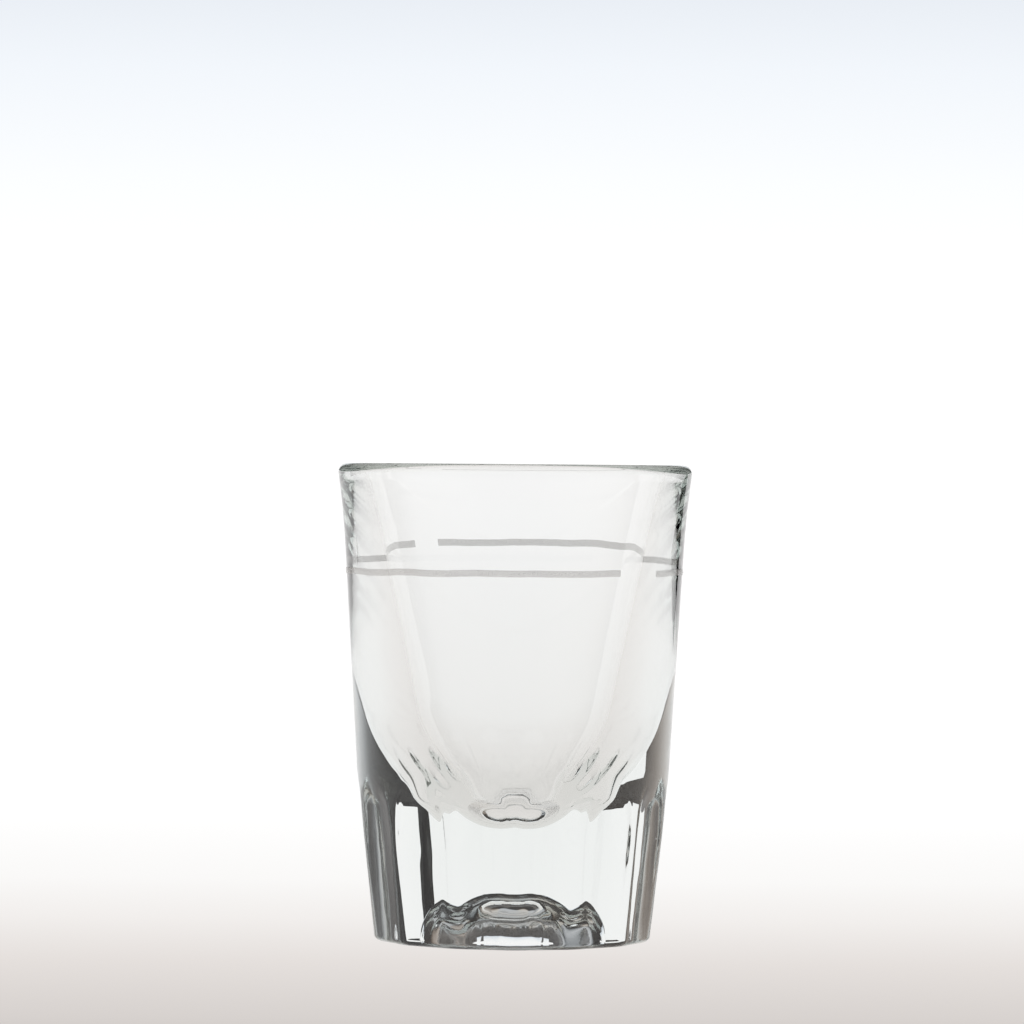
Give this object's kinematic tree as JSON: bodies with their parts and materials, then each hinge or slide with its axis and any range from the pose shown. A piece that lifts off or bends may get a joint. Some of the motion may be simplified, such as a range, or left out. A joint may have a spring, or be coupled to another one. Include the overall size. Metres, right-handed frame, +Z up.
{
  "type": "shot glass",
  "caption": "Heavy-based pressed shot glass: a smooth conical bowl over a foot of fourteen shallow flutes with a domed hollow underneath, and an enamel fill line in two strokes.",
  "frame": {"origin": "centre of the foot's resting plane", "axes": "+Z up along the glass's axis, the front facing -Y"},
  "size_m": [0.0544, 0.0544, 0.073],
  "materials": {
    "clear_glass": "fire-polished pressed soda-lime glass",
    "fired_enamel": "satin vitreous enamel, screen printed and fired on"
  },
  "bodies": {
    "root": {"glass_body": "clear_glass", "fill_line_right": "fired_enamel", "fill_line_left": "fired_enamel"}
  },
  "joints": []
}
